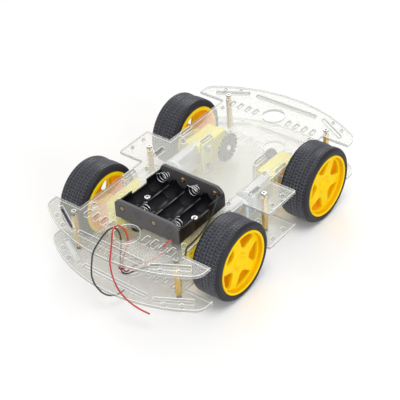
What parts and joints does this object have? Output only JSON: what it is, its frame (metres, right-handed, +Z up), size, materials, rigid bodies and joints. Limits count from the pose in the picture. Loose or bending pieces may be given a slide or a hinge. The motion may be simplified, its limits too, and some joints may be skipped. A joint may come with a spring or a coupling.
{
  "type": "four wheel robot chassis",
  "caption": "Two clear acrylic decks on brass standoffs, with geared hobby motors, spoked yellow wheels, an open battery holder and its bare leads.",
  "frame": {"origin": "on the floor, under the middle of the two decks", "axes": "+X forward (the battery end), +Y to the left, +Z up"},
  "size_m": [0.2611, 0.1612, 0.0684],
  "materials": {
    "acrylic": "clear cast acrylic sheet, 3 mm, laser-cut edges",
    "brass": "turned brass",
    "holder": "moulded black plastic, glossy",
    "lead_red": "soft insulated wire",
    "lead_black": "soft insulated wire",
    "gearbox": "moulded yellow plastic",
    "motor": "zinc-plated steel can",
    "tyre": "soft black rubber with fine grooves",
    "rim": "moulded yellow plastic, satin",
    "gear_white": "white nylon",
    "encoder": "black plastic"
  },
  "bodies": {
    "chassis": {"bottom_deck": "acrylic", "top_deck": "acrylic", "standoff_front_left": "brass", "standoff_front_right": "brass", "standoff_middle_left": "brass", "standoff_middle_right": "brass", "standoff_rear_left": "brass", "standoff_rear_right": "brass", "battery_holder": "holder", "battery_lead_red": "lead_red", "battery_lead_black": "lead_black", "lead_tie": "lead_red", "gearbox_case_front_left": "gearbox", "gearbox_cover_front_left": "gearbox", "motor_can_front_left": "motor", "bracket_outer_front_left": "acrylic", "bracket_inner_front_left": "acrylic", "gearbox_case_front_right": "gearbox", "gearbox_cover_front_right": "gearbox", "motor_can_front_right": "motor", "bracket_outer_front_right": "acrylic", "bracket_inner_front_right": "acrylic", "gearbox_case_rear_left": "gearbox", "gearbox_cover_rear_left": "gearbox", "motor_can_rear_left": "motor", "bracket_outer_rear_left": "acrylic", "bracket_inner_rear_left": "acrylic", "gearbox_case_rear_right": "gearbox", "gearbox_cover_rear_right": "gearbox", "motor_can_rear_right": "motor", "bracket_outer_rear_right": "acrylic", "bracket_inner_rear_right": "acrylic"},
    "wheel_front_left": {"tyre_front_left": "tyre", "wheel_rim_front_left": "rim", "output_shaft_front_left": "gear_white", "encoder_disc_front_left": "encoder"},
    "middle_gear_front_left_body": {"middle_gear_front_left": "gear_white"},
    "crown_gear_front_left_body": {"crown_gear_front_left": "gear_white"},
    "motor_pinion_front_left_body": {"motor_pinion_front_left": "brass"},
    "wheel_front_right": {"tyre_front_right": "tyre", "wheel_rim_front_right": "rim", "output_shaft_front_right": "gear_white", "encoder_disc_front_right": "encoder"},
    "middle_gear_front_right_body": {"middle_gear_front_right": "gear_white"},
    "crown_gear_front_right_body": {"crown_gear_front_right": "gear_white"},
    "motor_pinion_front_right_body": {"motor_pinion_front_right": "brass"},
    "wheel_rear_left": {"tyre_rear_left": "tyre", "wheel_rim_rear_left": "rim", "output_shaft_rear_left": "gear_white", "encoder_disc_rear_left": "encoder"},
    "middle_gear_rear_left_body": {"middle_gear_rear_left": "gear_white"},
    "crown_gear_rear_left_body": {"crown_gear_rear_left": "gear_white"},
    "motor_pinion_rear_left_body": {"motor_pinion_rear_left": "brass"},
    "wheel_rear_right": {"tyre_rear_right": "tyre", "wheel_rim_rear_right": "rim", "output_shaft_rear_right": "gear_white", "encoder_disc_rear_right": "encoder"},
    "middle_gear_rear_right_body": {"middle_gear_rear_right": "gear_white"},
    "crown_gear_rear_right_body": {"crown_gear_rear_right": "gear_white"},
    "motor_pinion_rear_right_body": {"motor_pinion_rear_right": "brass"}
  },
  "joints": [
    {"name": "wheel_front_left_spin", "type": "hinge", "parent": "chassis", "child": "wheel_front_left", "pos_m": [0.05775, 0.03805, 0.0325], "axis": [0, 1, 0], "continuous": true},
    {"name": "middle_gear_front_left_spin", "type": "hinge", "parent": "chassis", "child": "middle_gear_front_left_body", "pos_m": [0.04897, 0.03805, 0.03447], "axis": [0, 1, 0], "continuous": true},
    {"name": "crown_gear_front_left_spin", "type": "hinge", "parent": "chassis", "child": "crown_gear_front_left_body", "pos_m": [0.04225, 0.03805, 0.0325], "axis": [0, 1, 0], "continuous": true},
    {"name": "motor_pinion_front_left_spin", "type": "hinge", "parent": "chassis", "child": "motor_pinion_front_left_body", "pos_m": [0.03685, 0.03805, 0.0325], "axis": [1, 0, 0], "continuous": true},
    {"name": "wheel_front_right_spin", "type": "hinge", "parent": "chassis", "child": "wheel_front_right", "pos_m": [0.05775, -0.03805, 0.0325], "axis": [0, 1, 0], "continuous": true},
    {"name": "middle_gear_front_right_spin", "type": "hinge", "parent": "chassis", "child": "middle_gear_front_right_body", "pos_m": [0.04897, -0.03805, 0.03053], "axis": [0, 1, 0], "continuous": true},
    {"name": "crown_gear_front_right_spin", "type": "hinge", "parent": "chassis", "child": "crown_gear_front_right_body", "pos_m": [0.04225, -0.03805, 0.0325], "axis": [0, 1, 0], "continuous": true},
    {"name": "motor_pinion_front_right_spin", "type": "hinge", "parent": "chassis", "child": "motor_pinion_front_right_body", "pos_m": [0.03685, -0.03805, 0.0325], "axis": [1, 0, 0], "continuous": true},
    {"name": "wheel_rear_left_spin", "type": "hinge", "parent": "chassis", "child": "wheel_rear_left", "pos_m": [-0.05775, 0.03805, 0.0325], "axis": [0, 1, 0], "continuous": true},
    {"name": "middle_gear_rear_left_spin", "type": "hinge", "parent": "chassis", "child": "middle_gear_rear_left_body", "pos_m": [-0.04897, 0.03805, 0.03053], "axis": [0, 1, 0], "continuous": true},
    {"name": "crown_gear_rear_left_spin", "type": "hinge", "parent": "chassis", "child": "crown_gear_rear_left_body", "pos_m": [-0.04225, 0.03805, 0.0325], "axis": [0, 1, 0], "continuous": true},
    {"name": "motor_pinion_rear_left_spin", "type": "hinge", "parent": "chassis", "child": "motor_pinion_rear_left_body", "pos_m": [-0.03685, 0.03805, 0.0325], "axis": [1, 0, 0], "continuous": true},
    {"name": "wheel_rear_right_spin", "type": "hinge", "parent": "chassis", "child": "wheel_rear_right", "pos_m": [-0.05775, -0.03805, 0.0325], "axis": [0, 1, 0], "continuous": true},
    {"name": "middle_gear_rear_right_spin", "type": "hinge", "parent": "chassis", "child": "middle_gear_rear_right_body", "pos_m": [-0.04897, -0.03805, 0.03447], "axis": [0, 1, 0], "continuous": true},
    {"name": "crown_gear_rear_right_spin", "type": "hinge", "parent": "chassis", "child": "crown_gear_rear_right_body", "pos_m": [-0.04225, -0.03805, 0.0325], "axis": [0, 1, 0], "continuous": true},
    {"name": "motor_pinion_rear_right_spin", "type": "hinge", "parent": "chassis", "child": "motor_pinion_rear_right_body", "pos_m": [-0.03685, -0.03805, 0.0325], "axis": [1, 0, 0], "continuous": true}
  ],
  "couplings": [
    {"joint": "middle_gear_front_left_spin", "follows": "wheel_front_left_spin", "ratio": -4},
    {"joint": "crown_gear_front_left_spin", "follows": "wheel_front_left_spin", "ratio": 16},
    {"joint": "motor_pinion_front_left_spin", "follows": "wheel_front_left_spin", "ratio": -48},
    {"joint": "middle_gear_front_right_spin", "follows": "wheel_front_right_spin", "ratio": -4},
    {"joint": "crown_gear_front_right_spin", "follows": "wheel_front_right_spin", "ratio": 16},
    {"joint": "motor_pinion_front_right_spin", "follows": "wheel_front_right_spin", "ratio": 48},
    {"joint": "middle_gear_rear_left_spin", "follows": "wheel_rear_left_spin", "ratio": -4},
    {"joint": "crown_gear_rear_left_spin", "follows": "wheel_rear_left_spin", "ratio": 16},
    {"joint": "motor_pinion_rear_left_spin", "follows": "wheel_rear_left_spin", "ratio": 48},
    {"joint": "middle_gear_rear_right_spin", "follows": "wheel_rear_right_spin", "ratio": -4},
    {"joint": "crown_gear_rear_right_spin", "follows": "wheel_rear_right_spin", "ratio": 16},
    {"joint": "motor_pinion_rear_right_spin", "follows": "wheel_rear_right_spin", "ratio": -48}
  ]
}
